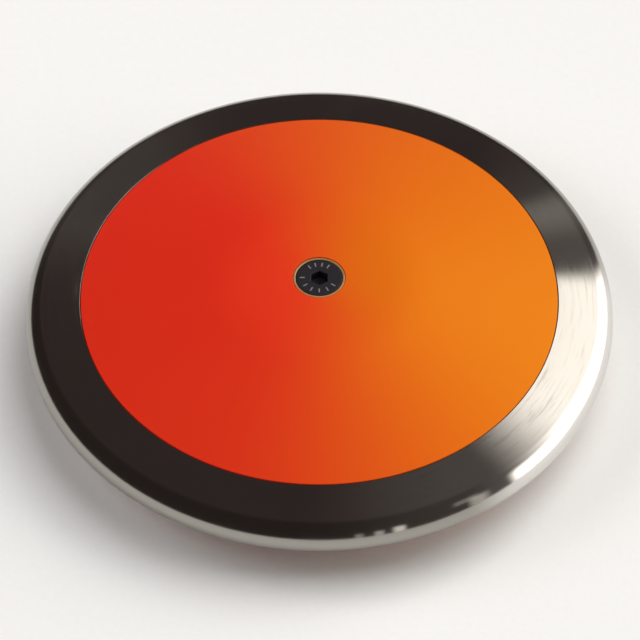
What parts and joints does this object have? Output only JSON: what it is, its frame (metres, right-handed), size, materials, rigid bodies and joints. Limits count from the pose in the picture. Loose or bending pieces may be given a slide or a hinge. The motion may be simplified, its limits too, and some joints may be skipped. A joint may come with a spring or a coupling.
{
  "type": "discus",
  "caption": "Throwing discus: a turned steel rim with a moulded plate let in flush on each side, clamped by countersunk centre screws.",
  "frame": {"origin": "centre of the lower flat face, on which the discus rests", "axes": "+Z along the axis of revolution, out of the upper side; +X to the right and +Y away from the viewer in the picture's view"},
  "size_m": [0.181, 0.181, 0.038],
  "materials": {
    "turned_steel": "polished",
    "orange_plastic": "satin",
    "black_steel": "satin",
    "plated_steel": "satin",
    "bright_steel": "satin",
    "plywood": "matte",
    "seal_rubber": "matte"
  },
  "bodies": {
    "root": {"rim": "turned_steel", "upper_side_plate": "orange_plastic", "lower_side_plate": "orange_plastic", "upper_centre_screw": "black_steel", "lower_centre_screw": "black_steel", "upper_cup_washer": "plated_steel", "lower_cup_washer": "plated_steel", "upper_load_washer": "bright_steel", "lower_load_washer": "bright_steel", "upper_trim_shim": "bright_steel", "lower_trim_shim": "bright_steel", "upper_trim_weight": "bright_steel", "lower_trim_weight": "bright_steel", "hub_nut": "bright_steel", "core_disc": "plywood", "upper_seal_ring": "seal_rubber", "lower_seal_ring": "seal_rubber"}
  },
  "joints": []
}
